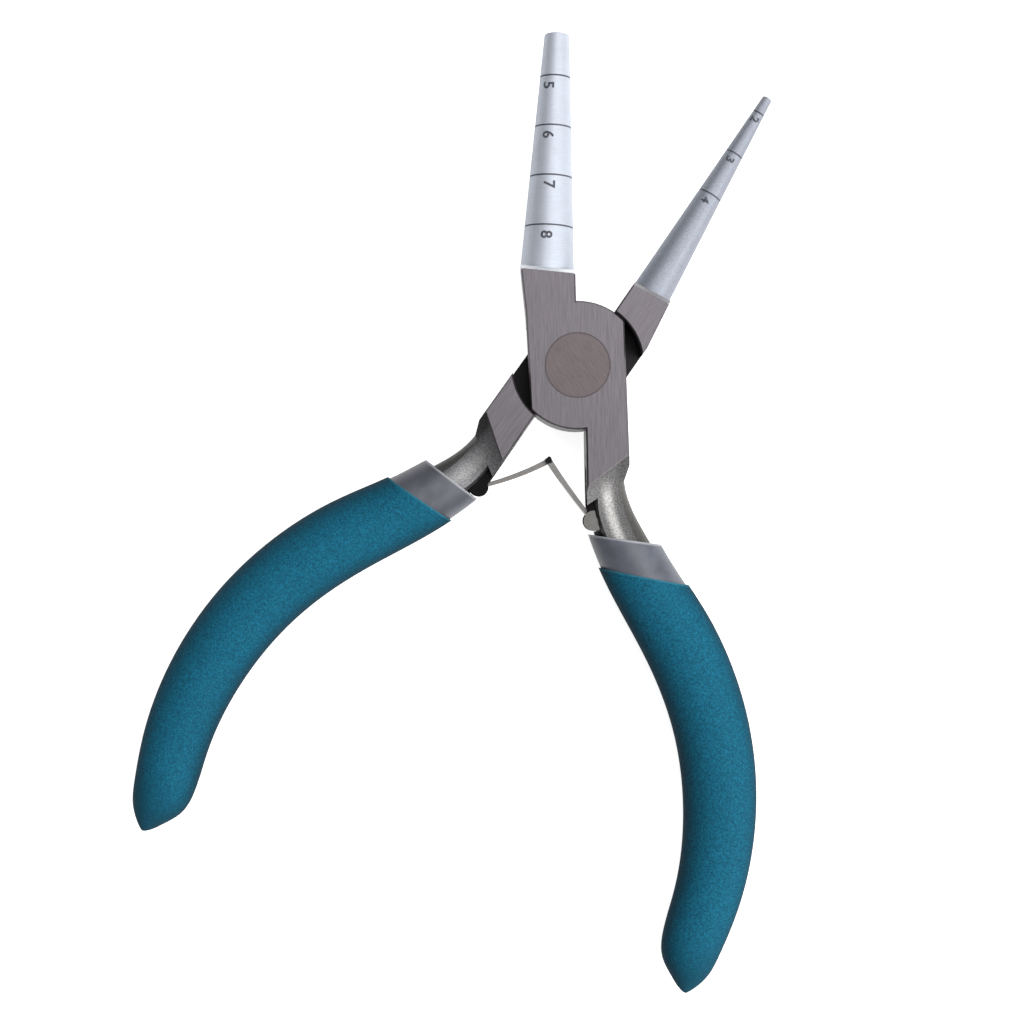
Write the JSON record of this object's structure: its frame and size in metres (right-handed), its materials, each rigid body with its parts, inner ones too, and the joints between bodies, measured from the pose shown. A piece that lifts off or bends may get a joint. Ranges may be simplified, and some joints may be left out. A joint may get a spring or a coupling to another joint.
{
  "type": "round nose pliers",
  "caption": "Hand pliers with two tapered round jaws, a flat lap joint, a pair of leaf return springs and curved dipped handle grips.",
  "frame": {"origin": "on the pivot's axis, at the back face of the lap joint", "axes": "+Z along the pivot's axis out of the front face; +Y towards the jaws, midway between the two halves; +X to the right seen from the front"},
  "size_m": [0.1008, 0.1437, 0.0114],
  "materials": {
    "ground_steel": "ground flat faces, satin jaws, forged neck",
    "rivet_steel": "ground flush",
    "spring_steel": "satin strip",
    "grey_vinyl": "dipped, soft sheen",
    "teal_vinyl": "foamed dip, fine matt texture"
  },
  "bodies": {
    "front_side": {"front_half": "ground_steel", "pivot_rivet": "rivet_steel", "spring_pin_front": "spring_steel", "grip_liner_front": "grey_vinyl", "grip_cover_front": "teal_vinyl"},
    "rear_side": {"rear_half": "ground_steel", "spring_pin_rear": "spring_steel", "grip_liner_rear": "grey_vinyl", "grip_cover_rear": "teal_vinyl"},
    "front_leaf": {"spring_leaf_front": "spring_steel"},
    "rear_leaf": {"spring_leaf_rear": "spring_steel"}
  },
  "joints": [
    {"name": "jaw_pivot", "type": "hinge", "parent": "front_side", "child": "rear_side", "pos_m": [0, 0, 0.005], "axis": [0, 0, 1], "range_deg": [-6, 35.5], "stiffness_Nm_per_rad": 0.12},
    {"name": "front_leaf_bend", "type": "hinge", "parent": "front_side", "child": "front_leaf", "pos_m": [0.00972, -0.02314, 0.005], "axis": [0, 0, 1], "range_deg": [-26.5, 5]},
    {"name": "rear_leaf_bend", "type": "hinge", "parent": "rear_side", "child": "rear_leaf", "pos_m": [-0.00972, -0.02314, 0.005], "axis": [0, 0, 1], "range_deg": [-5, 26.5]}
  ],
  "couplings": [
    {"joint": "front_leaf_bend", "follows": "jaw_pivot", "ratio": -0.73},
    {"joint": "rear_leaf_bend", "follows": "jaw_pivot", "ratio": 0.73}
  ]
}
